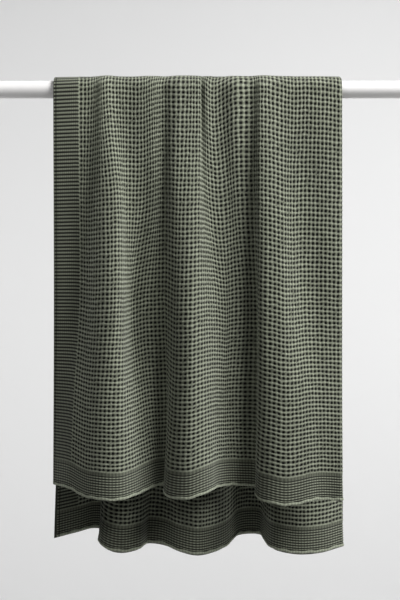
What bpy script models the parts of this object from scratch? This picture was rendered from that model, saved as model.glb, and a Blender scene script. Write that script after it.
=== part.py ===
"""Waffle weave cotton blanket, folded once along its length and hung over a round rod.

Metres, +Z up. The origin is the centre of the rod's left end face, +X runs along the rod and
-Y is the side that the front fall hangs on. The blanket is one sheet: its fold is the right
edge, its two selvedges lie one over the other at the left, and both layers hang over the rod.
"""

import math

import bpy
import numpy as np

MM = 0.001

# Rod
ROD_LENGTH = 1.000
ROD_RADIUS = 17.5 * MM
ROD_CHAMFER = 0.8 * MM
ROD_SIDES = 48

# Cloth, one layer
WAFFLE_THICKNESS = 3.4 * MM
BORDER_THICKNESS = 2.8 * MM
HEM_THICKNESS = 4.4 * MM
BORDER_WIDTH = 55.0 * MM
HEM_ROLL = 6.5 * MM
HEM_EDGE_SHARE = 0.6

# The two layers of the folded blanket
LAYER_GAP = 1.0 * MM
HEM_LAYER_GAP = 1.6 * MM
INNER_HEM_SHORT = 3.0 * MM
INNER_SELVEDGE_SHORT = 3.0 * MM
FOLD_BULGE = 1.35

# How it hangs
BLANKET_LEFT = 0.2026
ROD_CLEARANCE = 0.5 * MM

# Heights below the rod's axis at which the tables give the folds, from the rod to the hem.
FRONT_HEIGHTS = (0.0, 0.24, 0.435, 0.64, 0.81)
BACK_HEIGHTS = (0.0, 0.16, 0.48, 0.93)
HEM_REACH = 0.03

# Folds of the front fall, from the selvedges to the folded edge, all but the cells in mm.
#   cell    waffle column that runs down each line, counted from the border line
#   across  how far each line lies from the blanket's left edge, at the heights above
#   out     how far the outer face stands from the plane through the rod's axis, at the same
#   hem     how far below the rod's axis the hem lies there
FRONT_FOLDS = (
    # name           cell  across                     out                   hem
    ("selvedge",        -6, (3, 2, 2, 1, 0),           (26, 15, 13, 13, 13), 799),
    ("border line",      0, (55, 56, 57, 46, 40),      (28, 25, 30, 44, 48), 803),
    ("left flank",       3, (77, 73, 75, 63, 58),      (28, 32, 46, 57, 60), 810),
    ("left side",        6, (91, 90, 90, 80, 76),      (32, 46, 64, 70, 71), 815),
    ("first lip",        8, (96, 102, 103, 92, 88),    (35, 54, 74, 79, 78), 816),
    ("first crest",     10, (102, 118, 120, 108, 104), (37, 58, 81, 86, 84), 817),
    ("first ease",      12, (114, 133, 135, 125, 123), (36, 57, 80, 88, 86), 818),
    ("first corner",    14, (127, 143, 145, 142, 141), (30, 47, 65, 84, 82), 818),
    ("first fall",      17, (146, 149, 152, 158, 165), (28, 32, 37, 57, 60), 815),
    ("first foot",      22, (182, 180, 161, 176, 192), (33, 24, 14, 27, 30), 808),
    ("first hollow",    26, (203, 205, 187, 198, 214), (34, 29, 15, 17, 17), 801),
    ("inner hollow",    31, (225, 227, 226, 231, 227), (29, 28, 29, 15, 13), 799),
    ("second foot",     33, (239, 240, 238, 234, 223), (35, 46, 43, 31, 32), 808),
    ("second rise",     34, (249, 247, 244, 239, 226), (38, 51, 51, 42, 44), 813),
    ("second side",     36, (268, 261, 256, 253, 245), (37, 55, 63, 64, 69), 817),
    ("second crest",    39, (288, 285, 283, 281, 278), (35, 54, 70, 77, 84), 815),
    ("second ease",     41, (299, 298, 298, 298, 298), (32, 47, 60, 70, 80), 809),
    ("second fall",     44, (300, 306, 313, 317, 321), (28, 34, 43, 51, 59), 804),
    ("second ledge",    48, (308, 315, 333, 334, 336), (33, 26, 23, 29, 35), 801),
    ("third side",      51, (325, 336, 350, 346, 350), (28, 20, 15, 19, 22), 801),
    ("third foot",      53, (339, 353, 359, 355, 360), (28, 18, 14, 16, 17), 801),
    ("third floor",     56, (363, 370, 383, 374, 381), (36, 20, 14, 14, 13), 802),
    ("third edge",      60, (404, 405, 412, 412, 409), (32, 24, 19, 18, 17), 804),
    ("third lip",       63, (417, 416, 414, 412, 406), (39, 46, 46, 46, 45), 814),
    ("fourth rise",     64, (424, 423, 421, 419, 411), (39, 48, 52, 57, 59), 819),
    ("fourth side",     66, (439, 440, 440, 437, 431), (36, 48, 56, 69, 78), 823),
    ("fourth crest",    69, (464, 464, 465, 465, 464), (31, 42, 55, 76, 86), 828),
    ("fourth fall",     72, (485, 481, 484, 490, 491), (30, 35, 43, 72, 82), 825),
    ("right slope",     75, (508, 503, 503, 510, 514), (30, 30, 32, 66, 75), 821),
    ("right hollow",    78, (531, 528, 527, 530, 534), (31, 30, 28, 59, 66), 820),
    ("right ease",      81, (555, 552, 552, 553, 554), (30, 32, 31, 55, 63), 821),
    ("folded edge",     84, (578, 578, 577, 575, 573), (28, 30, 32, 52, 66), 822),
)

# Folds of the back fall, which hangs lower. It nests behind the front one.
BACK_FOLDS = (
    # name           cell  across                out               hem
    ("selvedge",        -6, (5, 4, 7, -7),        (26, 28, 36, 50), 922),
    ("border line",      0, (55, 56, 54, 37),     (28, 32, 52, 78), 916),
    ("first trough",     5, (87, 85, 86, 74),     (28, 34, 62, 86), 909),
    ("first corner",     8, (96, 100, 108, 95),   (29, 34, 56, 76), 911),
    ("first lip",       11, (108, 114, 120, 94), (33, 30, 40, 50), 931),
    ("first side",      13, (121, 128, 134, 110), (34, 27, 28, 28), 941),
    ("first crest",     16, (140, 146, 154, 138), (31, 25, 21, 19), 945),
    ("first flank",     20, (168, 169, 178, 166), (29, 28, 30, 26), 941),
    ("second trough",   25, (202, 203, 206, 184), (30, 38, 50, 56), 935),
    ("second flank",    29, (227, 230, 236, 222), (30, 33, 40, 49), 936),
    ("second side",     34, (255, 258, 266, 260), (30, 28, 27, 29), 946),
    ("second crest",    38, (282, 289, 296, 293), (34, 25, 19, 18), 950),
    ("second ease",     43, (305, 316, 325, 322), (31, 27, 26, 26), 946),
    ("third flank",     47, (315, 331, 350, 347), (31, 32, 44, 48), 940),
    ("third side",      51, (337, 353, 372, 372), (30, 40, 62, 76), 924),
    ("third trough",    55, (360, 378, 398, 398), (29, 43, 70, 85), 921),
    ("fourth corner",   59, (388, 405, 424, 431), (32, 38, 60, 75), 923),
    ("fourth lip",      62, (410, 423, 438, 442), (29, 32, 42, 52), 936),
    ("fourth side",     65, (431, 441, 456, 453), (34, 27, 28, 30), 941),
    ("fourth crest",    71, (478, 481, 492, 490), (32, 25, 20, 18), 947),
    ("right ease",      78, (531, 534, 544, 543), (31, 27, 27, 24), 946),
    ("folded edge",     84, (578, 579, 584, 588), (28, 32, 40, 44), 939),
)

# Share of each fold's height at the rod's axis that is gone on top of the rod
TOP_EASE = 0.75

# Cells across the cloth at which the mesh has a column, from the selvedge to the folded edge
CLOTH_CELLS = (
    -6, -4, -2, 0, 3, 6, 8, 10, 12, 14, 17, 20, 22, 26, 29, 31, 33, 34, 36, 39, 41, 44, 46, 48,
    51, 53, 56, 58, 60, 63, 64, 66, 69, 72, 75, 78, 81, 84,
)

# Mesh divisions; the hem and the border above it have rows of their own.
ABOVE_HEM = (BORDER_WIDTH - 2 * MM, HEM_ROLL + 2 * MM, HEM_ROLL, HEM_ROLL / 2, 0.0)
ROD_ROWS = 10
FALL_ROWS = 7
FOLD_STEPS = 3
SPLINE_STEPS = 10
SECTION_STEPS = 48
ROW_SPREAD = 1.15

COTTON_COLOR = (0.135, 0.145, 0.103, 1.0)
ROD_COLOR = (0.86, 0.85, 0.83, 1.0)


def clear_scene():
    for obj in list(bpy.data.objects):
        bpy.data.objects.remove(obj, do_unlink=True)


def make_material(name, color, roughness, metallic=0.0):
    material = bpy.data.materials.new(name)
    material.use_nodes = True
    shader = material.node_tree.nodes["Principled BSDF"]
    shader.inputs["Base Color"].default_value = color
    shader.inputs["Roughness"].default_value = roughness
    shader.inputs["Metallic"].default_value = metallic
    return material


def add_object(name, points, faces, material):
    mesh = bpy.data.meshes.new(name)
    mesh.from_pydata([tuple(point) for point in points], [], faces)
    mesh.validate()
    mesh.materials.append(material)
    obj = bpy.data.objects.new(name, mesh)
    bpy.context.scene.collection.objects.link(obj)
    mesh.shade_smooth()
    mesh.set_sharp_from_angle(angle=math.radians(40))
    return obj


def hermite(knots, values, at, flat_start=False):
    """Smooth curve through values at knots, read at each position in at."""
    knots = np.asarray(knots, float)
    values = np.asarray(values, float)
    slopes = np.gradient(values, knots, axis=0)
    if flat_start:
        slopes[0] = 0.0
    span = np.clip(np.searchsorted(knots, at, side="right") - 1, 0, len(knots) - 2)
    width = (knots[span + 1] - knots[span])[:, None]
    t = (np.asarray(at) - knots[span])[:, None] / width
    start = values[span] * (2 * t**3 - 3 * t**2 + 1) + values[span + 1] * (3 * t**2 - 2 * t**3)
    return start + width * (slopes[span] * (t**3 - 2 * t**2 + t) + slopes[span + 1] * (t**3 - t**2))


def fold_lines(folds, heights, drop):
    """Across, out and hem of every line of a fold table at one distance below the rod, in m."""
    across = np.array([row[2] for row in folds], float).T * MM
    out = np.array([row[3] for row in folds], float).T * MM
    hem = np.array([row[4] for row in folds], float) * MM
    level = np.array([drop])
    across_there = hermite(heights, across, level, flat_start=True)[0]
    out_there = hermite(heights, out, level, flat_start=True)[0]
    return np.column_stack((across_there, out_there, hem))


def section(folds, heights, drop):
    """Across, out and hem at each column of the cloth, which follow the lines of their cells."""
    lines = fold_lines(folds, heights, drop)
    chords = np.hypot(*np.diff(lines[:, :2], axis=0).T)
    knots = np.concatenate(([0.0], np.cumsum(chords)))
    dense = hermite(knots, lines, np.linspace(0.0, knots[-1], SPLINE_STEPS * len(lines)))
    run = np.concatenate(([0.0], np.cumsum(np.hypot(*np.diff(dense[:, :2], axis=0).T))))
    line_runs = np.interp(knots, np.linspace(0.0, knots[-1], len(run)), run)
    line_cells = np.array([row[1] for row in folds], float)
    at = hermite(line_cells, line_runs[:, None], CLOTH_CELLS)[:, 0]
    return np.column_stack([np.interp(at, run, dense[:, i]) for i in range(3)])


def flat_out():
    """Distance of the outer face from the rod's axis where the cloth lies flat on the rod."""
    return ROD_RADIUS + ROD_CLEARANCE + 2 * WAFFLE_THICKNESS + LAYER_GAP


def fall_rows(folds, heights, side):
    """Rows of points down one fall, from just below the rod to the hem; side is -1 in front."""
    drops = np.linspace(0.0, heights[-1] + HEM_REACH, SECTION_STEPS)
    sections = np.array([section(folds, heights, drop) for drop in drops])
    hems = section(folds, heights, heights[-1])[:, 2]
    shares = [(i / FALL_ROWS) ** ROW_SPREAD for i in range(1, FALL_ROWS + 1)]
    rows = [(hems - BORDER_WIDTH) * share for share in shares]
    rows += [hems - above for above in ABOVE_HEM]
    points = np.empty((len(rows), len(hems), 3))
    for i, row in enumerate(rows):
        for j, drop in enumerate(row):
            across = np.interp(drop, drops, sections[:, j, 0])
            out = np.interp(drop, drops, sections[:, j, 1])
            points[i, j] = (BLANKET_LEFT + across, side * out, -drop)
    return points


def rod_rows():
    """Rows of points over the rod, from the front fall's top to the back fall's."""
    front = section(FRONT_FOLDS, FRONT_HEIGHTS, 0.0)
    back = section(BACK_FOLDS, BACK_HEIGHTS, 0.0)
    rows = []
    for angle in np.linspace(-math.pi / 2, math.pi / 2, ROD_ROWS + 1):
        share = 0.5 + 0.5 * math.sin(angle)
        blend = front * (1.0 - share) + back * share
        lift = np.maximum(blend[:, 1] - flat_out(), 0.0) * (1.0 - TOP_EASE * math.cos(angle))
        out = flat_out() + lift
        rows.append(np.column_stack((
            BLANKET_LEFT + blend[:, 0], out * math.sin(angle), out * math.cos(angle),
        )))
    return np.array(rows)


def row_heights_above_hem():
    """Distance of each row from the nearer hem; rows past the border count as its width."""
    fall = [1.0] * FALL_ROWS + list(ABOVE_HEM)
    return np.array(fall[::-1] + [1.0] * (ROD_ROWS + 1) + fall)


def layer_thickness(above):
    """Thickness of one layer at each row and column: waffle, ribbed border, rolled hem."""
    side_border = np.array([CLOTH_CELLS]) < 0
    bordered = (above[:, None] < BORDER_WIDTH) | side_border
    thickness = np.where(bordered, BORDER_THICKNESS, WAFFLE_THICKNESS)
    thickness = np.where(above[:, None] <= HEM_ROLL, HEM_THICKNESS, thickness)
    return np.where(above[:, None] == 0.0, HEM_THICKNESS * HEM_EDGE_SHARE, thickness)


def unit(vectors):
    return vectors / np.linalg.norm(vectors, axis=-1, keepdims=True)


def build_blanket(material):
    front = fall_rows(FRONT_FOLDS, FRONT_HEIGHTS, -1.0)
    back = fall_rows(BACK_FOLDS, BACK_HEIGHTS, 1.0)
    face = np.concatenate((front[::-1], rod_rows(), back))
    across = unit(np.gradient(face, axis=1))
    along = unit(np.gradient(face, axis=0))
    normal = unit(np.cross(across, along))
    above = row_heights_above_hem()
    half = layer_thickness(above)[:, :, None] / 2
    hem_share = np.clip(1.0 - above / BORDER_WIDTH, 0.0, 1.0)[:, None, None]
    spacing = WAFFLE_THICKNESS + LAYER_GAP
    spacing = spacing + (HEM_THICKNESS + HEM_LAYER_GAP - spacing) * hem_share

    outer = face - normal * WAFFLE_THICKNESS / 2
    inner = outer - normal * spacing
    rolled = len(ABOVE_HEM) - 1
    inner[:rolled] += along[:rolled] * INNER_HEM_SHORT
    inner[-rolled:] -= along[-rolled:] * INNER_HEM_SHORT
    inner[:, 0] += across[:, 0] * INNER_SELVEDGE_SHORT

    middle = (outer[:, -1] + inner[:, -1]) / 2
    reach = np.linalg.norm(outer[:, -1] - inner[:, -1], axis=-1, keepdims=True) / 2
    up = unit(outer[:, -1] - inner[:, -1])
    side = across[:, -1]
    edge_half = half[:, -1]

    def fold(radius, steps):
        turns = [math.pi * (i + 1) / (steps + 1) for i in range(steps)]
        return [
            middle + radius * (math.cos(turn) * up + FOLD_BULGE * math.sin(turn) * side)
            for turn in turns
        ]

    def row(layer, sign):
        return list(np.moveaxis(layer + sign * half * normal, 1, 0))

    loop = row(outer, 1) + fold(reach + edge_half, FOLD_STEPS)
    loop += row(inner, -1)[::-1] + row(inner, 1)
    loop += fold(reach - edge_half, FOLD_STEPS)[::-1] + row(outer, -1)[::-1]
    rings = np.stack(loop, axis=1)
    return add_object("blanket", rings.reshape(-1, 3), tube_faces(rings.shape[:2]), material)


def tube_faces(shape):
    """Faces of a ring-shaped section swept through its rows, with both ends closed.

    A ring runs along the outside of the folded sheet and back along its inside, so a cap is
    a strip of quads between points that lie opposite each other.
    """
    rows, count = shape
    faces = []
    for i in range(rows - 1):
        for j in range(count):
            k = (j + 1) % count
            a, b = i * count + j, i * count + k
            faces.append((a, b, b + count, a + count))
    half = count // 2
    for j in range(half - 1):
        start, end = j, j + 1
        back, front = count - 1 - j, count - 2 - j
        faces.append((start, back, front, end))
        last = (rows - 1) * count
        faces.append((last + start, last + end, last + front, last + back))
    return faces


def build_rod(material):
    """Plain round rod on the X axis, with a small chamfer at each end."""
    profile = (
        (0.0, ROD_RADIUS - ROD_CHAMFER),
        (ROD_CHAMFER, ROD_RADIUS),
        (ROD_LENGTH - ROD_CHAMFER, ROD_RADIUS),
        (ROD_LENGTH, ROD_RADIUS - ROD_CHAMFER),
    )
    turns = [2 * math.pi * i / ROD_SIDES for i in range(ROD_SIDES)]
    points = [(x, r * math.cos(turn), r * math.sin(turn)) for x, r in profile for turn in turns]
    faces = [tuple(range(ROD_SIDES))[::-1]]
    faces.append(tuple(range(3 * ROD_SIDES, 4 * ROD_SIDES)))
    for i in range(3):
        for j in range(ROD_SIDES):
            k = (j + 1) % ROD_SIDES
            a, b = i * ROD_SIDES, (i + 1) * ROD_SIDES
            faces.append((a + j, a + k, b + k, b + j))
    return add_object("rod", points, faces, material)


def main():
    clear_scene()
    build_rod(make_material("white paint", ROD_COLOR, 0.45))
    build_blanket(make_material("sage waffle cotton", COTTON_COLOR, 0.95))


main()
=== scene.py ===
"""Waffle weave cotton blanket, folded once along its length and hung over a white rod.

The cloth is one sheet, 1.55 m wide and 1.80 m long. It starts as flat grids in the weave's own
coordinates (cells across, rows along), is folded along its right edge and laid over the fold
lines of its solid. Waffle cells, border ribs, stitches, selvedges and rolled hems are raised in
the mesh. It is cut along its rows into seven lengths, so that each mesh stays a moderate size.
"""

import math

import bpy
import numpy as np
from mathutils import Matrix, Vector


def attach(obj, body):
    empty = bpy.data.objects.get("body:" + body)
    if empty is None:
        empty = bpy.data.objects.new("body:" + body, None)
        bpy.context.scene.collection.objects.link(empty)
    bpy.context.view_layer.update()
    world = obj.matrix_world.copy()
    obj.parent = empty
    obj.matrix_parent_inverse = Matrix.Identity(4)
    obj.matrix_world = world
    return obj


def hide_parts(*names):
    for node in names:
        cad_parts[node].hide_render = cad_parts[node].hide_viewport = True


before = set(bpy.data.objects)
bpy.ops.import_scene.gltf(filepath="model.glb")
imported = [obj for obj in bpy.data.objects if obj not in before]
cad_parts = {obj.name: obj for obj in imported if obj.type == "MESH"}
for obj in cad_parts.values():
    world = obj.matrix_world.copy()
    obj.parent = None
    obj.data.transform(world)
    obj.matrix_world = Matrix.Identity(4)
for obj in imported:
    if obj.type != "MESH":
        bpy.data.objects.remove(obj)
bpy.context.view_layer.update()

MM = 0.001

# Rod and how the cloth lies on it, as in the solids
ROD_RADIUS = 17.5 * MM
ROD_CLEARANCE = 0.5 * MM
BLANKET_LEFT = 0.2026
WAFFLE_THICKNESS = 3.4 * MM
BORDER_THICKNESS = 2.8 * MM
HEM_THICKNESS = 4.4 * MM
LAYER_GAP = 1.0 * MM
HEM_LAYER_GAP = 1.6 * MM
INNER_HEM_SHORT = 3.0 * MM
INNER_SELVEDGE_SHORT = 3.0 * MM
FOLD_BULGE = 1.35
BORDER_WIDTH = 55.0 * MM
HEM_ROLL = 6.5 * MM

# How far the outer face stands from the rod's axis on top of it, and a quarter turn's length there
FLAT_OUT = ROD_RADIUS + ROD_CLEARANCE + 2 * WAFFLE_THICKNESS + LAYER_GAP
QUARTER = FLAT_OUT * math.pi / 2

# The flat cloth
FLAT_WIDTH = 1.55
FLAT_LENGTH = 1.80

# Weave: cells are counted from the border line across the outer layer, then round the fold and
# back across the inner layer. Rows are counted from the front border line over the rod to the
# back border line.
LAYER_CELLS = 84
FOLD_CELLS = 2
BORDER_CELLS = 6
LOOP_CELLS = 2 * LAYER_CELLS + FOLD_CELLS
FRONT_ROWS = 87
ROWS = 186
HEM_ROW = 9.0 * MM
RIBS_PER_ROW = 5 / 4

# Heights below the rod's axis at which the tables give the folds, from the rod to the hem.
FRONT_HEIGHTS = (0.0, 0.24, 0.435, 0.64, 0.81)
BACK_HEIGHTS = (0.0, 0.16, 0.48, 0.93)

# How far below the axis the two hems lie before the rows slip, and how far on the map goes
FRONT_HEM = 0.798
BACK_HEM = 0.909
HEM_REACH = 0.03

# Folds of the front fall, from the selvedges to the folded edge, all but the cells in mm.
#   cell    waffle column that runs down each line, counted from the border line
#   across  how far each line lies from the blanket's left edge, at the heights above
#   out     how far the outer face stands from the plane through the rod's axis, at the same
#   hem     how far below the rod's axis the hem lies there
#   slip    how far the rows have slipped towards the front where the cloth crosses the rod
FRONT_FOLDS = (
    # name           cell  across                     out                   hem  slip
    ("selvedge",        -6, (3, 2, 2, 1, 0),           (26, 15, 13, 13, 13), 799, 24),
    ("border line",      0, (55, 56, 57, 46, 40),      (28, 25, 30, 44, 48), 803, 22),
    ("left flank",       3, (77, 73, 75, 63, 58),      (28, 32, 46, 57, 60), 810, 21),
    ("left side",        6, (91, 90, 90, 80, 76),      (32, 46, 64, 70, 71), 815, 17),
    ("first lip",        8, (96, 102, 103, 92, 88),    (35, 54, 74, 79, 78), 816, 15),
    ("first crest",     10, (102, 118, 120, 108, 104), (37, 58, 81, 86, 84), 817, 13),
    ("first ease",      12, (114, 133, 135, 125, 123), (36, 57, 80, 88, 86), 818, 9),
    ("first corner",    14, (127, 143, 145, 142, 141), (30, 47, 65, 84, 82), 818, 9),
    ("first fall",      17, (146, 149, 152, 158, 165), (28, 32, 37, 57, 60), 815, 10),
    ("first foot",      22, (182, 180, 161, 176, 192), (33, 24, 14, 27, 30), 808, 12),
    ("first hollow",    26, (203, 205, 187, 198, 214), (34, 29, 15, 17, 17), 801, 4),
    ("inner hollow",    31, (225, 227, 226, 231, 227), (29, 28, 29, 15, 13), 799, -2),
    ("second foot",     33, (239, 240, 238, 234, 223), (35, 46, 43, 31, 32), 808, -1),
    ("second rise",     34, (249, 247, 244, 239, 226), (38, 51, 51, 42, 44), 813, 0),
    ("second side",     36, (268, 261, 256, 253, 245), (37, 55, 63, 64, 69), 817, 0),
    ("second crest",    39, (288, 285, 283, 281, 278), (35, 54, 70, 77, 84), 815, 0),
    ("second ease",     41, (299, 298, 298, 298, 298), (32, 47, 60, 70, 80), 809, 1),
    ("second fall",     44, (300, 306, 313, 317, 321), (28, 34, 43, 51, 59), 804, 4),
    ("second ledge",    48, (308, 315, 333, 334, 336), (33, 26, 23, 29, 35), 801, 12),
    ("third side",      51, (325, 336, 350, 346, 350), (28, 20, 15, 19, 22), 801, 20),
    ("third foot",      53, (339, 353, 359, 355, 360), (28, 18, 14, 16, 17), 801, 14),
    ("third floor",     56, (363, 370, 383, 374, 381), (36, 20, 14, 14, 13), 802, 4),
    ("third edge",      60, (404, 405, 412, 412, 409), (32, 24, 19, 18, 17), 804, 0),
    ("third lip",       63, (417, 416, 414, 412, 406), (39, 46, 46, 46, 45), 814, -1),
    ("fourth rise",     64, (424, 423, 421, 419, 411), (39, 48, 52, 57, 59), 819, -1),
    ("fourth side",     66, (439, 440, 440, 437, 431), (36, 48, 56, 69, 78), 823, 1),
    ("fourth crest",    69, (464, 464, 465, 465, 464), (31, 42, 55, 76, 86), 828, 7),
    ("fourth fall",     72, (485, 481, 484, 490, 491), (30, 35, 43, 72, 82), 825, 11),
    ("right slope",     75, (508, 503, 503, 510, 514), (30, 30, 32, 66, 75), 821, 10),
    ("right hollow",    78, (531, 528, 527, 530, 534), (31, 30, 28, 59, 66), 820, 12),
    ("right ease",      81, (555, 552, 552, 553, 554), (30, 32, 31, 55, 63), 821, 14),
    ("folded edge",     84, (578, 578, 577, 575, 573), (28, 30, 32, 52, 66), 822, 17),
)

# Folds of the back fall, which hangs lower. It nests behind the front one.
BACK_FOLDS = (
    # name           cell  across                out               hem  slip
    ("selvedge",        -6, (5, 4, 7, -7),        (26, 28, 36, 50), 922, 24),
    ("border line",      0, (55, 56, 54, 37),     (28, 32, 52, 78), 916, 22),
    ("first trough",     5, (87, 85, 86, 74),     (28, 34, 62, 86), 909, 18),
    ("first corner",     8, (96, 100, 108, 95),   (29, 34, 56, 76), 911, 15),
    ("first lip",       11, (108, 114, 120, 94), (33, 30, 40, 50), 931, 11),
    ("first side",      13, (121, 128, 134, 110), (34, 27, 28, 28), 941, 9),
    ("first crest",     16, (140, 146, 154, 138), (31, 25, 21, 19), 945, 9),
    ("first flank",     20, (168, 169, 178, 166), (29, 28, 30, 26), 941, 11),
    ("second trough",   25, (202, 203, 206, 184), (30, 38, 50, 56), 935, 6),
    ("second flank",    29, (227, 230, 236, 222), (30, 33, 40, 49), 936, -1),
    ("second side",     34, (255, 258, 266, 260), (30, 28, 27, 29), 946, 0),
    ("second crest",    38, (282, 289, 296, 293), (34, 25, 19, 18), 950, 0),
    ("second ease",     43, (305, 316, 325, 322), (31, 27, 26, 26), 946, 3),
    ("third flank",     47, (315, 331, 350, 347), (31, 32, 44, 48), 940, 10),
    ("third side",      51, (337, 353, 372, 372), (30, 40, 62, 76), 924, 20),
    ("third trough",    55, (360, 378, 398, 398), (29, 43, 70, 85), 921, 7),
    ("fourth corner",   59, (388, 405, 424, 431), (32, 38, 60, 75), 923, 1),
    ("fourth lip",      62, (410, 423, 438, 442), (29, 32, 42, 52), 936, -1),
    ("fourth side",     65, (431, 441, 456, 453), (34, 27, 28, 30), 941, 0),
    ("fourth crest",    71, (478, 481, 492, 490), (32, 25, 20, 18), 947, 9),
    ("right ease",      78, (531, 534, 544, 543), (31, 27, 27, 24), 946, 12),
    ("folded edge",     84, (578, 579, 584, 588), (28, 32, 40, 44), 939, 17),
)

# Share of each fold's height at the rod's axis that is gone on top of the rod
TOP_EASE = 0.75

# Length of one waffle row along the cloth, at distances below the rod's axis. The cloth's
# weight draws the cells long at the rod, and they are shorter towards the hems.
ROW_PITCH_AT = (0.0, 0.10, 0.33, 0.53, 0.70, 0.90)
ROW_PITCH = (9.9 * MM, 9.8 * MM, 9.4 * MM, 8.8 * MM, 8.2 * MM, 8.1 * MM)

# Map of the draped face, from which the cloth's points are read. A reading past its end is taken
# just inside the last span.
MAP_STEP = 2.5 * MM
MAP_PER_CELL = 3
SPLINE_STEPS = 16
FALL_STEPS = 400
LAST_SPAN = 1.001

# Waffle cell: places across a cell and the height of the face there, from 1 on the ridge to 0 on
# the floor of the pit. The same heights set the painted shade that darkens the pits. Fine on the
# front, plainer on the back and inside.
FRONT_CELL = ((0.0, 1.0), (0.21, 0.78), (0.35, 0.0), (0.65, 0.0), (0.79, 0.78))
BACK_CELL = ((0.0, 1.0), (0.36, 0.1), (0.64, 0.1))
INNER_CELL = ((0.0, 1.0), (0.5, 0.15))
PIT_DEPTH = 2.8 * MM
DEEPEST_PIT = 3.1 * MM

# Ridges dip between their crossings. At the hems those along the cloth dip in full and those along
# the rows by a share of it. At the rod the first dip less and the second more. Where they dip they
# are darkened by painted shade, as much as RIDGE_SHADE says.
RIDGE_DIP = 0.5 * MM
ROW_RIDGE_DIP = 0.25
DIP_SHIFT_AT_ROD = 0.45
RIDGE_SHADE = 0.30

# Unevenness of the weave, in mm, in cells and in shares of the pit's depth
CROSSING_UNEVENNESS = 0.12 * MM
CROSSING_SHADE = 0.08
RIDGE_WANDER = 0.06
CELL_WANDER = 0.08
PIT_SLANT = 0.16
PIT_DEPTH_SPREAD = 0.12

# Border rib: places across a rib and the height of the face there, as in a cell. The heights also
# set painted shade in the grooves between ribs. The inner ribs are half as deep, and the inner
# border has fewer columns.
FRONT_RIB = ((0.0, 1.0), (0.24, 0.82), (0.50, 0.0), (0.76, 0.82))
INNER_RIB = ((0.0, 1.0), (0.5, 0.1))
RIB_DEPTH = 1.7 * MM
BORDER_COLUMN = 2.0 * MM
INNER_BORDER_COLUMN = 8.0 * MM

# Stitches across the ribs: round dips above the hems, and every other yarn in the side borders.
# The dips are darkened by painted shade.
STITCHES_PER_CELL = 4 / 3
STITCH_DEPTH = 0.9 * MM
STITCH_SHADE = 0.22
YARN_SHADE = 0.26

# Selvedge: points from its edge in mm, the share of the thickness that the very edge has, and the
# line of dents beside the selvedge's strip, which painted shade darkens
FINE_EDGE = (0.0, 0.8, 2.4, 4.0, 5.2, 6.4)
PLAIN_EDGE = (0.0, 1.5, 6.0)
EDGE_ROUNDING = 1.6 * MM
EDGE_THINNESS = 0.35
SELVEDGE_WIDTH = 5.5 * MM
SELVEDGE_GROOVE = 0.5 * MM
SELVEDGE_GROOVE_WIDTH = 0.9 * MM
SELVEDGE_GROOVE_SHADE = 0.4

# Rolled hem: points across the roll, the least height of its round and the shadow under it. Its
# unevenness is a sum of waves, each with its share, turn per cell and start.
FINE_ROLL = (0.0, 0.05, 0.20, 0.5, 0.80, 0.95, 1.0)
PLAIN_ROLL = (0.0, 0.2, 0.5, 0.8, 1.0)
ROLL_LEAST = 0.04
ROLL_SHADOW_FROM = 0.9
ROLL_SHADOW = 0.3
ROLL_UNEVENNESS = 1.0 * MM
ROLL_SWELL_UNEVENNESS = 0.15
ROLL_WAVES = ((0.6, 1.9, 0.0), (0.4, 0.83, 1.0))
ROLL_CORNER_SHARE = 0.5

# Border above the hem, in distances above the hem edge: a groove, ribs and a plain strip. The
# groove's floor is painted nearly black as painted shade, and the plain strip's height sets its
# painted shade.
HEM_GROOVE_FLOOR = HEM_ROLL + 0.7 * MM
HEM_GROOVE_SWELL = 0.5 * MM
HEM_RIBS_START = 8.0 * MM
HEM_RIBS_TOP = 49.0 * MM
HEM_RIB_COUNT = 8
PLAIN_STRIP = (HEM_RIBS_TOP + 1.2 * MM, BORDER_WIDTH - 2.4 * MM)
PLAIN_STRIP_DROP = 0.4 * MM
PLAIN_STRIP_RISE = 0.76

# Height of the yarn for its painted shade, on the faces that the two layers turn to each other
GAP_RISE = 0.6

SEED = 11

# Meshes: name, first and last waffle row, and the cells on the outside and on the inside
LENGTHS = (
    ("blanket_front_low", 0, 24, FRONT_CELL, INNER_CELL),
    ("blanket_front_middle", 24, 55, FRONT_CELL, INNER_CELL),
    ("blanket_front_top", 55, 87, FRONT_CELL, INNER_CELL),
    ("blanket_back_top", 87, 123, BACK_CELL, INNER_CELL),
    ("blanket_back_middle", 123, 159, BACK_CELL, INNER_CELL),
    ("blanket_back_low", 159, 174, BACK_CELL, INNER_CELL),
    ("blanket_back_hem", 174, 186, BACK_CELL, FRONT_CELL),
)

# Maps on the meshes: places on the flat cloth in metres, and the bake layout
CLOTH_MAP = "cloth"
LAYOUT_MAP = "OFBake"

# Bake layout, as starts and lengths in a unit square: the outside and the gap's faces lie side by
# side, the rims of the gap in thin columns beside them, and the caps in thin rows above them.
OUTSIDE_SPAN = (0.01, 0.63)
GAP_SPAN = (0.655, 0.32)
ROW_SPAN = (0.01, 0.95)
RIM_PLACES = (0.985, 0.995)
CAP_SPAN = (0.01, 0.96)
START_CAP_PLACES = (0.968, 0.972)
END_CAP_PLACES = (0.981, 0.985)

# Camera, 2 m in front of the rod and level
CAMERA_PLACE = (0.5, -2.0, -0.427)
PICTURE_HEIGHT_AT_ROD = 1.218
FILM_SIZE = 36.0

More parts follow.
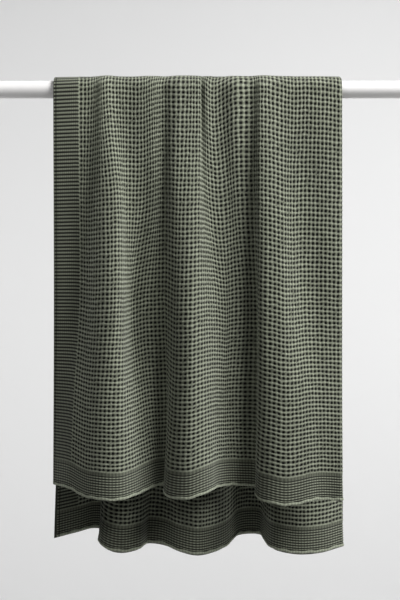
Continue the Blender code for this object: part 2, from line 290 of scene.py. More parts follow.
# Stage and lights
STAGE_MIDDLE = 0.5
FLOOR_HEIGHT = -3.0
WALL_PLACE = 3.2
SWEEP_RADIUS = 0.6
STAGE_HALF_WIDTH = 7.0
STAGE_FRONT = -7.0
WALL_TOP = 5.0
SWEEP_STEPS = 16
KEY_AZIMUTH = math.radians(58)
KEY_ELEVATION = math.radians(36)
KEY_TARGET = (0.5, 0.0, -0.1)
KEY_DISTANCE = 3.2
KEY_SIZE = (1.8, 1.8)
KEY_POWER = 194.0
FILL_PLACE = (-0.35, -1.1, 0.65)
FILL_TARGET = (0.4, 0.0, -0.1)
FILL_SIZE = (0.6, 0.6)
FILL_POWER = 4.6
WALL_LIGHT_PLACES = ((-1.8, 0.6, -0.5), (2.9, 0.6, -0.5))
WALL_LIGHT_TARGET = (0.5, WALL_PLACE, -0.3)
WALL_LIGHT_SIZE = (0.5, 2.4)
WALL_LIGHT_POWER = 33.0
SURROUND_COLOUR = (0.98, 0.99, 1.0, 1.0)
SURROUND_STRENGTH = 0.015


# ---------------------------------------------------------------- draped face of the cloth

def hermite(knots, values, at, flat_start=False):
    """Smooth curve through values at knots, read at each position in at."""
    knots = np.asarray(knots, float)
    values = np.asarray(values, float)
    slopes = np.gradient(values, knots, axis=0)
    if flat_start:
        slopes[0] = 0.0
    span = np.clip(np.searchsorted(knots, at, side="right") - 1, 0, len(knots) - 2)
    width = (knots[span + 1] - knots[span])[:, None]
    t = (np.asarray(at) - knots[span])[:, None] / width
    level = values[span] * (2 * t**3 - 3 * t**2 + 1) + values[span + 1] * (3 * t**2 - 2 * t**3)
    lean = slopes[span] * (t**3 - 2 * t**2 + t) + slopes[span + 1] * (t**3 - t**2)
    return level + width * lean


def read_between(table, i, j):
    """A table read at row numbers i and column numbers j, between its own rows and columns."""
    i = np.clip(i, 0, table.shape[0] - LAST_SPAN)
    j = np.clip(j, 0, table.shape[1] - LAST_SPAN)
    i0, j0 = i.astype(int), j.astype(int)
    u, v = i - i0, j - j0
    if table.ndim > 2:
        u, v = u[..., None], v[..., None]
    near = table[i0, j0] * (1 - v) + table[i0, j0 + 1] * v
    far = table[i0 + 1, j0] * (1 - v) + table[i0 + 1, j0 + 1] * v
    return near * (1 - u) + far * u


def fold_lines(folds, heights, drop):
    """Across, out, hem and slip of every fold line at one distance below the rod."""
    _names, _cells, across, out, hem, slip = zip(*folds)
    level = np.array([drop])
    across_there = hermite(heights, np.array(across, float).T * MM, level, flat_start=True)[0]
    out_there = hermite(heights, np.array(out, float).T * MM, level, flat_start=True)[0]
    return np.column_stack((
        across_there, out_there, np.array(hem, float) * MM, np.array(slip, float) * MM,
    ))


def map_columns():
    """Cells across one layer at which the map is kept, from the selvedge to the folded edge."""
    count = (BORDER_CELLS + LAYER_CELLS) * MAP_PER_CELL
    return np.linspace(-BORDER_CELLS, LAYER_CELLS, count + 1)


def section(folds, heights, drop):
    """Across, out, hem and slip at each map column, which follow the lines of their cells."""
    lines = fold_lines(folds, heights, drop)
    chords = np.hypot(*np.diff(lines[:, :2], axis=0).T)
    knots = np.concatenate(([0.0], np.cumsum(chords)))
    dense = hermite(knots, lines, np.linspace(0.0, knots[-1], SPLINE_STEPS * len(lines)))
    run = np.concatenate(([0.0], np.cumsum(np.hypot(*np.diff(dense[:, :2], axis=0).T))))
    line_runs = np.interp(knots, np.linspace(0.0, knots[-1], len(run)), run)
    line_cells = np.array([cell for _name, cell, *_rest in folds], float)
    at = hermite(line_cells, line_runs[:, None], map_columns())[:, 0]
    return np.column_stack([np.interp(at, run, dense[:, i]) for i in range(lines.shape[1])])


def over_the_rod(front, back, place):
    """Section of the cloth at an angle round the rod, between the two falls' top sections."""
    angle = place / FLAT_OUT
    share = 0.5 + 0.5 * math.sin(angle)
    blend = front * (1.0 - share) + back * share
    lift = np.maximum(blend[:, 1] - FLAT_OUT, 0.0) * (1.0 - TOP_EASE * math.cos(angle))
    out = FLAT_OUT + lift
    return np.column_stack((blend[:, 0], out * math.sin(angle), out * math.cos(angle)))


def draped_face():
    """Places along the cloth, and the outer face's points at each place and map column.

    Places run from below the front hem (negative) over the rod's top (0) to below the back hem.
    """
    first = -(FRONT_HEIGHTS[-1] + HEM_REACH + QUARTER)
    last = BACK_HEIGHTS[-1] + HEM_REACH + QUARTER
    places = np.arange(first, last + MAP_STEP, MAP_STEP)
    front_top = section(FRONT_FOLDS, FRONT_HEIGHTS, 0.0)
    back_top = section(BACK_FOLDS, BACK_HEIGHTS, 0.0)
    points = []
    for place in places:
        drop = abs(place) - QUARTER
        if drop <= 0:
            points.append(over_the_rod(front_top, back_top, place))
        else:
            side = -1.0 if place < 0 else 1.0
            folds = FRONT_FOLDS if place < 0 else BACK_FOLDS
            heights = FRONT_HEIGHTS if place < 0 else BACK_HEIGHTS
            there = section(folds, heights, drop)
            points.append(np.column_stack((
                there[:, 0], side * there[:, 1], np.full(len(there), -drop),
            )))
    points = np.array(points)
    points[:, :, 0] += BLANKET_LEFT
    return places, points


def unit(vectors):
    """The same directions, one long."""
    return vectors / np.linalg.norm(vectors, axis=-1, keepdims=True)


class DrapedCloth:
    """The outer face as a map from cells across and place along to points and directions."""

    def __init__(self):
        self.places, self.points = draped_face()
        self.across = unit(np.gradient(self.points, axis=1))
        along = unit(np.gradient(self.points, axis=0))
        self.normals = unit(np.cross(self.across, along))
        self.cells = map_columns()
        front = section(FRONT_FOLDS, FRONT_HEIGHTS, FRONT_HEIGHTS[-1])
        back = section(BACK_FOLDS, BACK_HEIGHTS, BACK_HEIGHTS[-1])
        front_top = section(FRONT_FOLDS, FRONT_HEIGHTS, 0.0)
        back_top = section(BACK_FOLDS, BACK_HEIGHTS, 0.0)
        self.front_hem, self.back_hem = front[:, 2], back[:, 2]
        self.front_slip, self.back_slip = front_top[:, 3], back_top[:, 3]
        self.row_places = row_places()

    def read(self, table, cells, places):
        """A table of the map, read at cells across and places along."""
        return read_between(
            table, (places - self.places[0]) / MAP_STEP, (cells + BORDER_CELLS) * MAP_PER_CELL)

    def row_place(self, rows, cells, inner):
        """Place along the cloth of each row at each cell across, with its slip and hem."""
        front_hem = np.interp(cells, self.cells, self.front_hem) - INNER_HEM_SHORT * inner
        back_hem = np.interp(cells, self.cells, self.back_hem) - INNER_HEM_SHORT * inner
        level = np.interp(rows, np.arange(ROWS + 1), self.row_places)
        front_share = np.clip((-level - QUARTER) / (FRONT_HEM - BORDER_WIDTH), 0, 1)
        back_share = np.clip((level - QUARTER) / (BACK_HEM - BORDER_WIDTH), 0, 1)
        top_share = np.clip((level / QUARTER + 1) / 2, 0, 1)
        front_slip = np.interp(cells, self.cells, self.front_slip)
        back_slip = np.interp(cells, self.cells, self.back_slip)
        slip = front_slip * (1 - top_share) + back_slip * top_share
        slip = slip * (1 - front_share) + (front_hem - FRONT_HEM) * front_share
        slip = slip * (1 - back_share) - (back_hem - BACK_HEM) * back_share
        place = level - slip
        place = np.where(rows < 0, -(front_hem + QUARTER - above_hem(rows)), place)
        return np.where(rows > ROWS, back_hem + QUARTER - above_hem(rows), place)


def row_places():
    """Place along the cloth of each waffle row where it hasn't slipped."""
    def fall(hem, count):
        steps = np.linspace(-QUARTER, hem - BORDER_WIDTH, FALL_STEPS)
        rows_per_step = np.diff(steps) / np.interp(steps[1:], ROW_PITCH_AT, ROW_PITCH)
        rows = np.concatenate(([0.0], np.cumsum(rows_per_step)))
        return np.interp(np.linspace(0, rows[-1], count + 1), rows, steps) + QUARTER

    front = -fall(FRONT_HEM, FRONT_ROWS)[::-1]
    back = fall(BACK_HEM, ROWS - FRONT_ROWS)
    return np.concatenate((front, back[1:]))


def above_hem(rows):
    """Distance above the nearer hem; rows of the waffle count as the border's width."""
    past = np.maximum(-rows, rows - ROWS)
    return BORDER_WIDTH - np.clip(past, 0, BORDER_WIDTH / HEM_ROW) * HEM_ROW


def hem_rows(above, at_back):
    """Row numbers of places above the hem, counted on past the border line."""
    past = (BORDER_WIDTH - np.asarray(above)) / HEM_ROW
    return ROWS + past if at_back else -past


# ---------------------------------------------------------------- relief of the weave

def is_fine(pattern):
    """Whether a pattern is drawn in full, and not as a ridge and a floor alone."""
    return len(pattern) > 2


def spaced(pattern, start, stop, count):
    """Places and heights of a pattern of (place, height) pairs repeated from start to stop."""
    step = (stop - start) / count
    places = [start + (i + place) * step for i in range(count) for place, _height in pattern]
    heights = [height for _i in range(count) for _place, height in pattern]
    return np.array(places), np.array(heights)


def closed_pattern(pattern, start, stop, count):
    """The same, ending on a last ridge at stop."""
    places, heights = spaced(pattern, start, stop, count)
    return np.append(places, stop), np.append(heights, 1.0)


def hem_profile(fine):
    """Distance above the hem edge, swell of the face and height of the yarn for its painted shade,
    hem to border.
    """
    roll_at = np.array(FINE_ROLL if fine else PLAIN_ROLL)
    roll_height = np.sqrt(np.clip(1 - (2 * roll_at - 1) ** 2, ROLL_LEAST, 1))
    roll_rise = np.where(roll_at > ROLL_SHADOW_FROM, ROLL_SHADOW, 1.0)
    rib = FRONT_RIB if fine else INNER_RIB
    count = HEM_RIB_COUNT if fine else HEM_RIB_COUNT // 2
    rib_at, rib_rise = spaced(rib, HEM_RIBS_START, HEM_RIBS_TOP, count)
    strip = np.ones(len(PLAIN_STRIP))
    above = (roll_at * HEM_ROLL, [HEM_GROOVE_FLOOR], rib_at, PLAIN_STRIP)
    swell = (
        HEM_THICKNESS / 2 * roll_height, [HEM_GROOVE_SWELL], rib_swell(rib, rib_rise),
        (BORDER_THICKNESS / 2 - PLAIN_STRIP_DROP) * strip,
    )
    rise = (roll_rise, [0.0], rib_rise, PLAIN_STRIP_RISE * strip)
    return np.concatenate(above), np.concatenate(swell), np.concatenate(rise)


def rib_swell(rib, height):
    """Swell of the border's face at heights across a rib. Plain ribs are half as deep."""
    depth = RIB_DEPTH if is_fine(rib) else RIB_DEPTH / 2
    return BORDER_THICKNESS / 2 - depth * (1 - height)


def stitched(rows, columns, swell, rise, stitch):
    """A ribbed or rolled stretch: rows have the profile, and each column is as deep in a stitch
    between the yarns as stitch says, and darkened there by painted shade."""
    high = np.clip(rise, 0, 1)[:, None]
    return {
        "rows": rows,
        "row": np.repeat(rows[:, None], len(columns), axis=1),
        "loop": np.repeat(columns[None, :], len(rows), axis=0),
        "swell": swell[:, None] - STITCH_DEPTH * stitch[None, :] * high,
        "rise": high * (1 - STITCH_SHADE * stitch[None, :]),
    }


def every_other(columns):
    """Yarn columns of the border: every other one dips and takes painted shade, as deep as its
    shade asks for.
    """
    dip = YARN_SHADE / STITCH_SHADE
    return dip * (np.arange(len(columns)) % 2)


def hem_block(even_width, at_back, fine):
    """The border above a hem and its rolled edge, in the order in which the rows run."""
    above, swell, rise = hem_profile(fine)
    if at_back:
        above, swell, rise = above[::-1], swell[::-1], rise[::-1]
    stitch = 0.5 - 0.5 * np.cos(2 * math.pi * STITCHES_PER_CELL * even_width)
    block = stitched(hem_rows(above, at_back), even_width, swell, rise, stitch)
    uneven = sum(share * np.sin(turn * even_width + start) for share, turn, start in ROLL_WAVES)
    rolled = (above <= HEM_ROLL)[:, None]
    block["row"] = block["row"] + ROLL_UNEVENNESS / HEM_ROW * uneven * rolled
    block["swell"] = block["swell"] * (1 + ROLL_SWELL_UNEVENNESS * uneven * rolled)
    # On the roll the painted shade of its stitches and of its shadow is lighter
    block["rise"] = np.where(rolled, np.sqrt(block["rise"]), block["rise"])
    return block


def waffle_block(columns, column_height, cells, cell, first, last, random):
    """Rows of waffle cells. Ridges and pits wander a little from their places. Towards the
    hems the ridges along the rows stand highest, and at the rod the others do."""
    row_count = last - first
    rows, row_height = closed_pattern(cell, first, last, row_count)
    i = np.minimum(np.arange(len(rows)) // len(cell), row_count - 1)[:, None]
    j = np.minimum(np.arange(len(columns)) // len(cell), cells - 1)[None, :]
    wander = random.normal(0, CELL_WANDER, (2, row_count, cells))[:, i, j]
    slant = random.normal(PIT_SLANT / 2, PIT_SLANT, (row_count, cells))[i, j]
    depth = PIT_DEPTH * (1 + random.normal(0, PIT_DEPTH_SPREAD, (row_count, cells))[i, j])
    depth = np.minimum(depth, DEEPEST_PIT)
    sway = random.normal(0, RIDGE_WANDER, (2, row_count + 1, cells + 1))
    sway[:, [0, -1], :] = 0.0
    sway[:, :, [0, -1]] = 0.0
    row_numbers = (rows - first)[:, None]
    column_numbers = (columns - columns[0])[None, :]
    along, aside = [read_between(part, row_numbers, column_numbers) for part in sway]
    hx, hy = column_height[None, :], row_height[:, None]
    pit = (1 - hx) * (1 - hy)
    within_row = (rows % 1.0)[:, None] - 0.5
    crossing = random.normal(0, 1, (row_count, cells))[i, j] * hx * hy
    at_rod = 1 - np.clip(np.abs(rows - FRONT_ROWS) / FRONT_ROWS, 0, 1)[:, None]
    shift = DIP_SHIFT_AT_ROD * at_rod
    low = (1 - hy) * hx * (1 - shift) + (1 - hx) * hy * (ROW_RIDGE_DIP + shift)
    swell = WAFFLE_THICKNESS / 2 - depth * pit - RIDGE_DIP * low + CROSSING_UNEVENNESS * crossing
    return {
        "rows": rows,
        "row": rows[:, None] + along + pit * wander[0],
        "loop": columns[None, :] + aside + pit * (wander[1] + slant * within_row),
        "swell": swell,
        # painted shade: nearly black in the pits and darker on the dipping ridges, with a random
        # tone at the crossings
        "rise": (1 - pit) * (1 - RIDGE_SHADE * low) * (1 - CROSSING_SHADE * np.abs(crossing)),
    }


def rib_block(columns, first, last, rib):
    """Rows of border ribs beside the waffle rows, five ribs to four rows."""
    count = round((last - first) * RIBS_PER_ROW)
    rows, height = closed_pattern(rib, first, last, count)
    return stitched(rows, columns, rib_swell(rib, height), height, every_other(columns))


def border_columns(fine):
    """Cells across the border from the selvedge, with the edge's rounding and its groove."""
    edge = np.array(FINE_EDGE if fine else PLAIN_EDGE) * MM
    step = BORDER_COLUMN if fine else INNER_BORDER_COLUMN
    across = np.concatenate((edge, np.arange(edge[-1] + step, BORDER_WIDTH - step / 2, step)))
    return across / BORDER_WIDTH * BORDER_CELLS - BORDER_CELLS


def shape_selvedge(block, from_edge):
    """Thins the border to its edge and presses a line of dents beside the selvedge strip, darkened
    by painted shade.
    """
    edge = np.clip(from_edge / EDGE_ROUNDING, 0, 1)
    block["swell"] = block["swell"] * (EDGE_THINNESS + (1 - EDGE_THINNESS) * edge)
    dent = np.exp(-((from_edge - SELVEDGE_WIDTH) / SELVEDGE_GROOVE_WIDTH) ** 2)
    block["swell"] = block["swell"] - SELVEDGE_GROOVE * dent
    block["rise"] = np.clip(block["rise"] * (1 - SELVEDGE_GROOVE_SHADE * dent), 0, 1)
    return block


def stack(blocks):
    """Blocks of the same columns, one after the other along the cloth."""
    return {key: np.concatenate([block[key] for block in blocks]) for key in blocks[0]}


def with_hems(block, columns, hems, fine):
    """A block with the borders of the hems, front and back, that its length of cloth has."""
    front = [hem_block(columns, False, fine)] if hems[0] else []
    back = [hem_block(columns, True, fine)] if hems[1] else []
    return stack(front + [block] + back)


# ---------------------------------------------------------------- lanes round the folded cloth

def border_lane(inner, first, last, hems, fine):
    """The ribbed border of one layer. The inner one ends a little short of the outer."""
    columns = border_columns(fine)
    from_edge = (columns + BORDER_CELLS) * BORDER_WIDTH / BORDER_CELLS
    rib = FRONT_RIB if fine else INNER_RIB
    loop = columns
    if inner:
        loop = (LOOP_CELLS - columns * (1 - INNER_SELVEDGE_SHORT / BORDER_WIDTH))[::-1]
        from_edge = from_edge[::-1]
    lane = with_hems(rib_block(loop, first, last, rib), loop, hems, fine)
    lane = shape_selvedge(lane, from_edge[None, :])
    lane["loops"] = loop
    return lane


def waffle_lane(start, cells, first, last, hems, cell, random):
    """Waffle cells with the border below them, from a place round the loop. A lane that starts
    on the fold leaves its first ridge to the lane before it."""
    columns, height = closed_pattern(cell, start, start + cells, cells)
    even = np.linspace(start, start + cells, len(columns))
    block = waffle_block(columns, height, cells, cell, first, last, random)
    lane = with_hems(block, even, hems, is_fine(cell))
    lane["loops"] = columns
    if start > 0:
        lane = {key: value if key == "rows" else value[..., 1:] for key, value in lane.items()}
    return lane


def gap_lane(first, last, hems):
    """The faces that the two layers turn to each other, from inner selvedge to outer."""
    short = INNER_SELVEDGE_SHORT / BORDER_WIDTH * BORDER_CELLS
    loop = np.arange(-BORDER_CELLS, LOOP_CELLS + BORDER_CELLS, 1.0)
    loop = np.append(loop, LOOP_CELLS + BORDER_CELLS - short)[::-1]
    bordered = (loop < 0) | (loop > LOOP_CELLS)
    half = np.where(bordered, BORDER_THICKNESS, WAFFLE_THICKNESS) / 2
    half[[0, -1]] *= EDGE_THINNESS
    rows = np.arange(first, last + 1.0)
    swell = np.repeat(half[None, :], len(rows), axis=0)
    above, hem_swell, _rise = hem_profile(False)
    rolled = (above <= HEM_ROLL)[:, None]
    hem_half = np.minimum(hem_swell[:, None], np.where(rolled, HEM_THICKNESS / 2, half[None, :]))
    hem_half[:, [0, -1]] *= ROLL_CORNER_SHARE
    if hems[0]:
        rows = np.concatenate((hem_rows(above, False), rows))
        swell = np.concatenate((hem_half, swell))
    if hems[1]:
        rows = np.concatenate((rows, hem_rows(above[::-1], True)))
        swell = np.concatenate((swell, hem_half[::-1]))
    shape = swell.shape
    return {
        "rows": rows,
        "row": np.repeat(rows[:, None], shape[1], axis=1),
        "loop": np.repeat(loop[None, :], shape[0], axis=0),
        "swell": -swell,
        "rise": np.full(shape, GAP_RISE),
        "loops": loop,
    }


def lay_lane(cloth, lane):
    """Folds a lane over its loop and lays it on the draped face; adds points and normals."""
    inner = np.clip((lane["loop"] - LAYER_CELLS) / FOLD_CELLS, 0, 1)
    cells = np.clip(lane["loop"], -BORDER_CELLS, LAYER_CELLS)
    cells = np.where(inner == 1, LOOP_CELLS - lane["loop"], cells)
    place = cloth.row_place(lane["row"], cells, inner)
    face = cloth.read(cloth.points, cells, place)
    normal = unit(cloth.read(cloth.normals, cells, place))
    side = unit(cloth.read(cloth.across, cells, place))
    near_hem = 1 - above_hem(lane["row"]) / BORDER_WIDTH
    spacing = WAFFLE_THICKNESS + LAYER_GAP
    spacing = spacing + (HEM_THICKNESS + HEM_LAYER_GAP - spacing) * near_hem
    turn = (inner * math.pi)[..., None]
    arm = normal * np.cos(turn) + side * FOLD_BULGE * np.sin(turn)
    centre = face - normal * (WAFFLE_THICKNESS + spacing)[..., None] / 2
    lane["points"] = centre + arm * (spacing / 2 + lane["swell"])[..., None]
    towards = unit(arm) * np.sign(lane["swell"].sum())
    normals = unit(np.cross(
        np.gradient(lane["points"], axis=1), np.gradient(lane["points"], axis=0)))
    for edge in (np.s_[0], np.s_[-1], np.s_[:, 0], np.s_[:, -1]):
        normals[edge] = towards[edge]
    lane["normals"] = normals
    return lane


# ---------------------------------------------------------------- joining lanes to one mesh

def strip_between(left, left_at, right, right_at):
    """Triangles that join two lines of points, given where each point lies along them."""
    faces = []
    i = j = 0
    while i < len(left) - 1 or j < len(right) - 1:
        left_next = left_at[i + 1] if i < len(left) - 1 else math.inf
        right_next = right_at[j + 1] if j < len(right) - 1 else math.inf
        if left_next <= right_next:
            faces.append((left[i], right[j], left[i + 1]))
            i += 1
        else:
            faces.append((left[i], right[j], right[j + 1]))
            j += 1
    return faces


def lane_quads(ids):
    """Quads of a lane's grid of points."""
    quads = np.stack((ids[:-1, :-1], ids[:-1, 1:], ids[1:, 1:], ids[1:, :-1]), axis=-1)
    return quads.reshape(-1, 4)


def flat_across(loop):
    """Distance across the flat cloth, in metres, of a place round the loop."""
    cell = (FLAT_WIDTH - 2 * BORDER_WIDTH) / LOOP_CELLS
    border = BORDER_WIDTH / BORDER_CELLS
    past = np.maximum(-loop, 0) * border - np.maximum(loop - LOOP_CELLS, 0) * border
    return BORDER_WIDTH + np.clip(loop, 0, LOOP_CELLS) * cell - past


def flat_along(rows):
    """Distance along the flat cloth, in metres, of a row."""
    row = (FLAT_LENGTH - 2 * BORDER_WIDTH) / ROWS
    past = (np.maximum(-rows, 0) - np.maximum(rows - ROWS, 0)) * HEM_ROW
    return BORDER_WIDTH + np.clip(rows, 0, ROWS) * row - past


def number_points(lanes):
    """Gives each lane the numbers that its points have in the joined mesh."""
    start = 0
    for lane in lanes:
        shape = lane["points"].shape[:2]
        lane["ids"] = np.arange(shape[0] * shape[1]).reshape(shape) + start
        start += lane["ids"].size


def joined_faces(lanes):
    """The lanes' own quads, then the triangles of the seams between the outside's lanes, of the
    gap's two rims and of the caps on the first and the last row."""
    quads = np.concatenate([lane_quads(lane["ids"]) for lane in lanes])
    seams, rims = [], []
    for i, lane in enumerate(lanes):
        after = lanes[(i + 1) % len(lanes)]
        faces = strip_between(lane["ids"][:, -1], lane["rows"], after["ids"][:, 0], after["rows"])
        beside_gap = i >= len(lanes) - 2
        (rims if beside_gap else seams).extend(faces)
    outside = np.concatenate([lane["ids"][[0, -1]] for lane in lanes[:-1]], axis=1)
    outside_at = np.concatenate([lane["loops"] for lane in lanes[:-1]])
    gap = lanes[-1]["ids"][[0, -1], ::-1]
    gap_at = lanes[-1]["loops"][::-1]
    start_cap = strip_between(outside[0], outside_at, gap[0], gap_at)
    end_cap = strip_between(gap[1], gap_at, outside[1], outside_at)
    return quads, np.array(seams), np.array(rims), np.array(start_cap), np.array(end_cap)


def bake_places(cloth_uv, on_gap):
    """Each point's place in the bake layout, for the same five groups of faces."""
    x = cloth_uv[:, 0] / FLAT_WIDTH
    low, high = cloth_uv[:, 1].min(), cloth_uv[:, 1].max()
    along = ROW_SPAN[0] + ROW_SPAN[1] * (cloth_uv[:, 1] - low) / (high - low)
    across = np.where(
        on_gap, GAP_SPAN[0] + GAP_SPAN[1] * x, OUTSIDE_SPAN[0] + OUTSIDE_SPAN[1] * x)
    faces = np.column_stack((across, along))
    cap_across = CAP_SPAN[0] + CAP_SPAN[1] * x
    rims = np.column_stack((np.where(on_gap, *RIM_PLACES[::-1]), along))
    start_cap = np.column_stack((cap_across, np.where(on_gap, *START_CAP_PLACES[::-1])))
    end_cap = np.column_stack((cap_across, np.where(on_gap, *END_CAP_PLACES[::-1])))
    return faces, faces, rims, start_cap, end_cap


def add_corner_map(mesh, name, places):
    """A map with a place for each corner of the mesh's faces."""
    layer = mesh.uv_layers.new(name=name)
    layer.uv.foreach_set("vector", places.astype(np.float32).ravel())


def join_lanes(name, lanes):
    """One closed mesh of lanes that follow each other round the loop, with both ends shut."""
    number_points(lanes)
    points = np.concatenate([lane["points"].reshape(-1, 3) for lane in lanes])
    normals = np.concatenate([lane["normals"].reshape(-1, 3) for lane in lanes])
    rise = np.concatenate([lane["rise"].ravel() for lane in lanes])
    cloth_uv = np.column_stack((
        np.concatenate([flat_across(lane["loop"]).ravel() for lane in lanes]),
        np.concatenate([flat_along(lane["row"]).ravel() for lane in lanes]),
    ))
    on_gap = np.arange(len(points)) >= lanes[-1]["ids"].min()
    groups = joined_faces(lanes)
    mesh = bpy.data.meshes.new(name)
    mesh.from_pydata(points, [], [face for group in groups for face in group.tolist()])
    corners = [group.ravel() for group in groups]
    bake_uv = [place[at] for at, place in zip(corners, bake_places(cloth_uv, on_gap))]
    add_corner_map(mesh, CLOTH_MAP, cloth_uv[np.concatenate(corners)])
    add_corner_map(mesh, LAYOUT_MAP, np.concatenate(bake_uv))
    # Height of each point in the weave, which the cotton's colour turns into painted shade
    height = mesh.attributes.new("rise", "FLOAT", "POINT")
    height.data.foreach_set("value", rise.astype(np.float32))
    mesh.shade_smooth()
    mesh.normals_split_custom_set_from_vertices(normals)
    obj = bpy.data.objects.new(name, mesh)
    bpy.context.scene.collection.objects.link(obj)
    return obj


# ---------------------------------------------------------------- finishes

# The middle stretch of a noise's own values, which nearly all of them lie in
NOISE_LOW = 0.3
NOISE_HIGH = 0.7


class Finish:
    """A material with its shader, and short ways to place and join its nodes."""

    def __init__(self, name, roughness):
        self.material = bpy.data.materials.new(name)
        self.material.use_nodes = True
        self.tree = self.material.node_tree
        self.shader = self.tree.nodes["Principled BSDF"]
        self.shader.inputs["Roughness"].default_value = roughness

    def node(self, kind, settings=None, inputs=None):
        """A new node with its settings, and with values or links at its inputs."""
        node = self.tree.nodes.new(kind)
        for key, value in (settings or {}).items():
            setattr(node, key, value)
        for key, value in (inputs or {}).items():
            if isinstance(value, bpy.types.NodeSocket):
                self.tree.links.new(value, node.inputs[key])
            else:
                node.inputs[key].default_value = value
        return node

    def noise(self, place, scale, detail, low, high):
        """A noise that runs from low to high."""
        noise = self.node("ShaderNodeTexNoise", None, {
            "Vector": place, "Scale": scale, "Detail": detail,
        })
        return self.node("ShaderNodeMapRange", None, {
            "Value": noise.outputs["Fac"], "From Min": NOISE_LOW, "From Max": NOISE_HIGH,
            "To Min": low, "To Max": high,
        }).outputs["Result"]

    def ramp(self, value, stops):
        """A colour for each value, between (place, colour) stops."""
        node = self.node("ShaderNodeValToRGB", None, {"Fac": value})
        elements = node.color_ramp.elements
        while len(elements) < len(stops):
            elements.new(0.5)
        for element, (place, colour) in zip(elements, stops):
            element.position = place
            element.color = (*colour, 1.0)
        return node.outputs["Color"]

    def scaled(self, colour, factor):
        """A colour made lighter or darker by a factor that changes over the surface."""
        return self.node("ShaderNodeVectorMath", {"operation": "SCALE"}, {
            0: colour, "Scale": factor,
        }).outputs["Vector"]

    def sum(self, first, second):
        """Two values added."""
        return self.node("ShaderNodeMath", {"operation": "ADD"}, {
            0: first, 1: second,
        }).outputs["Value"]

    def wave(self, place, direction):
        """Fine waves across one direction of the cloth, a little wavering."""
        return self.node("ShaderNodeTexWave", {"bands_direction": direction}, {
            "Vector": place, "Scale": 240.0, "Distortion": 1.5, "Detail": 1.0,
        }).outputs["Fac"]

    def feed(self, socket, value):
        """Leads a value into the shader."""
        self.tree.links.new(value, self.shader.inputs[socket])

    def bump(self, height, strength, distance):
        """Bumps as high as a value says."""
        node = self.node("ShaderNodeBump", None, {
            "Height": height, "Strength": strength, "Distance": distance,
        })
        self.feed("Normal", node.outputs["Normal"])


def cotton_finish():
    """Greyed sage cotton yarn: dull, with painted shade that darkens it in the pits and dips of
    the weave, and its twist and fluff as bump.
    """
    finish = Finish("sage waffle cotton", roughness=0.92)
    finish.shader.inputs["Sheen Weight"].default_value = 0.25
    finish.shader.inputs["Sheen Roughness"].default_value = 0.5
    finish.shader.inputs["Specular IOR Level"].default_value = 0.25
    cloth = finish.node("ShaderNodeUVMap", {"uv_map": CLOTH_MAP}).outputs["UV"]
    place = finish.node("ShaderNodeTexCoord").outputs["Object"]
    rise = finish.node("ShaderNodeAttribute", {"attribute_name": "rise"}).outputs["Fac"]
    # Painted shade: by the height of each point in the weave, the colour runs from nearly black on
    # the floors of pits and grooves to the yarn's light colour on the ridges. Part of the pits'
    # darkness comes from their real depth in the mesh, and the rest is this painted shade.
    colour = finish.ramp(rise, (
        (0.0, (0.001, 0.0011, 0.0008)), (0.5, (0.027, 0.029, 0.021)),
        (0.8, (0.170, 0.184, 0.134)), (1.0, (0.370, 0.400, 0.304)),
    ))
    cloudy = finish.noise(place, scale=5.0, detail=2.0, low=0.92, high=1.08)
    colour = finish.scaled(colour, cloudy)
    grainy = finish.noise(cloth, scale=420.0, detail=3.0, low=0.84, high=1.14)
    finish.feed("Base Color", finish.scaled(colour, grainy))
    yarn = finish.sum(finish.wave(cloth, "X"), finish.wave(cloth, "Y"))
    fluff = finish.noise(cloth, scale=2200.0, detail=2.0, low=0.0, high=0.8)
    finish.bump(finish.sum(yarn, fluff), strength=0.35, distance=0.35 * MM)
    return finish.material


def paint_finish():
    """Satin white paint on the rod, faintly uneven."""
    finish = Finish("satin white paint", roughness=0.42)
    place = finish.node("ShaderNodeTexCoord").outputs["Object"]
    cloudy = finish.noise(place, scale=14.0, detail=3.0, low=0.0, high=1.0)
    colour = finish.ramp(cloudy, (
        (0.0, (0.89, 0.88, 0.87)), (1.0, (0.92, 0.91, 0.90)),
    ))
    finish.feed("Base Color", colour)
    finish.feed("Roughness", finish.noise(place, scale=60.0, detail=3.0, low=0.38, high=0.48))
    stipple = finish.noise(place, scale=900.0, detail=2.0, low=0.0, high=1.0)
    finish.bump(stipple, strength=0.15, distance=0.05 * MM)
    return finish.material


def stage_finish():
    """Plain pale studio sweep."""
    finish = Finish("pale sweep", roughness=0.95)
    place = finish.node("ShaderNodeTexCoord").outputs["Object"]
    cloudy = finish.noise(place, scale=0.7, detail=1.0, low=0.0, high=1.0)
    colour = finish.ramp(cloudy, (
        (0.0, (0.815, 0.815, 0.815)), (1.0, (0.825, 0.825, 0.825)),
    ))
    finish.feed("Base Color", colour)
    return finish.material


# ---------------------------------------------------------------- stage, light and camera

def add_stage(material):
    """Pale floor that sweeps up into a wall behind the object."""
    bpy.ops.object.select_all(action="DESELECT")
    rows = SWEEP_STEPS + 2
    bpy.ops.mesh.primitive_grid_add(x_subdivisions=1, y_subdivisions=rows - 1, size=1.0)
    stage = bpy.context.object
    stage.name = "studio_sweep"
    turns = [math.pi / 2 * i / (SWEEP_STEPS - 1) for i in range(SWEEP_STEPS)]
    profile = [(STAGE_FRONT, FLOOR_HEIGHT)]
    profile += [(
        WALL_PLACE - SWEEP_RADIUS * (1 - math.sin(turn)),
        FLOOR_HEIGHT + SWEEP_RADIUS * (1 - math.cos(turn)),
    ) for turn in turns]
    profile.append((WALL_PLACE, WALL_TOP))
    for i, vertex in enumerate(stage.data.vertices):
        y, z = profile[i // 2]
        x = STAGE_MIDDLE + (STAGE_HALF_WIDTH if i % 2 else -STAGE_HALF_WIDTH)
        vertex.co = (x, y, z)
    bpy.ops.object.shade_smooth()
    stage.data.materials.append(material)


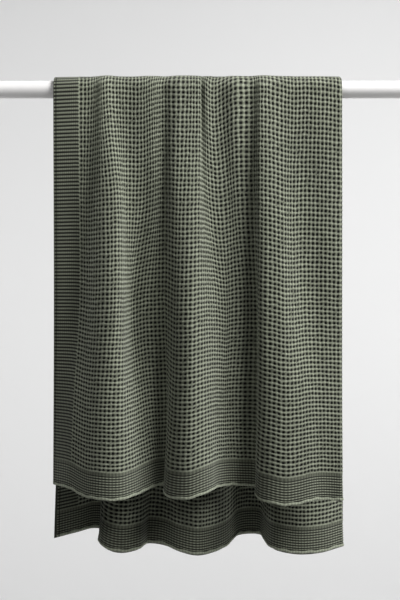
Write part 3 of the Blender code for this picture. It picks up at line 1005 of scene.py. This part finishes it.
def add_area_light(name, place, target, size, power):
    """Area light, out of the camera's sight, that shines from a place towards a target."""
    bpy.ops.object.light_add(type="AREA", location=place)
    light = bpy.context.object
    light.name = name
    light.data.shape = "RECTANGLE"
    light.data.size, light.data.size_y = size
    light.data.energy = power
    light.visible_camera = False
    away = Vector(place) - Vector(target)
    light.rotation_euler = away.to_track_quat("Z", "Y").to_euler()


def add_lights():
    """A soft key from the right, a weak fill from the upper left, two lights on the wall and a
    dim surround."""
    toward_key = (
        math.cos(KEY_ELEVATION) * math.sin(KEY_AZIMUTH),
        -math.cos(KEY_ELEVATION) * math.cos(KEY_AZIMUTH),
        math.sin(KEY_ELEVATION),
    )
    key_place = [target + KEY_DISTANCE * part for target, part in zip(KEY_TARGET, toward_key)]
    add_area_light("soft_key", key_place, KEY_TARGET, KEY_SIZE, KEY_POWER)
    add_area_light("fill_left", FILL_PLACE, FILL_TARGET, FILL_SIZE, FILL_POWER)
    for name, place in zip(("wall_light_left", "wall_light_right"), WALL_LIGHT_PLACES):
        add_area_light(name, place, WALL_LIGHT_TARGET, WALL_LIGHT_SIZE, WALL_LIGHT_POWER)
    world = bpy.data.worlds.new("soft surround")
    world.use_nodes = True
    surround = world.node_tree.nodes["Background"]
    surround.inputs["Color"].default_value = SURROUND_COLOUR
    surround.inputs["Strength"].default_value = SURROUND_STRENGTH
    bpy.context.scene.world = world
    bpy.context.scene.view_settings.view_transform = "Standard"


def add_camera():
    """Level camera whose picture is as high at the rod as the photograph's."""
    bpy.ops.object.camera_add(location=CAMERA_PLACE, rotation=(math.pi / 2, 0.0, 0.0))
    camera = bpy.context.object
    camera.data.sensor_width = FILM_SIZE
    camera.data.lens = FILM_SIZE * -CAMERA_PLACE[1] / PICTURE_HEIGHT_AT_ROD
    bpy.context.scene.camera = camera


# ---------------------------------------------------------------- blanket and rod

def make_blanket(material):
    """The blanket in lengths, each one closed mesh of its lanes."""
    cloth = DrapedCloth()
    random = np.random.default_rng(SEED)
    for name, first, last, outer_cell, inner_cell in LENGTHS:
        hems = (first == 0, last == ROWS)
        outer_cells = LAYER_CELLS + FOLD_CELLS
        lanes = [
            border_lane(False, first, last, hems, True),
            waffle_lane(0, outer_cells, first, last, hems, outer_cell, random),
            waffle_lane(outer_cells, LAYER_CELLS, first, last, hems, inner_cell, random),
            border_lane(True, first, last, hems, is_fine(inner_cell)),
            gap_lane(first, last, hems),
        ]
        piece = join_lanes(name, [lay_lane(cloth, lane) for lane in lanes])
        piece.data.materials.append(material)
        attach(piece, "root")
        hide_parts("blanket")


def finish_rod(material):
    """Gives the rod of the solids its material."""
    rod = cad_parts["rod"]
    for slot in rod.material_slots:
        slot.material = material


add_camera()
add_lights()
add_stage(stage_finish())
finish_rod(paint_finish())
make_blanket(cotton_finish())
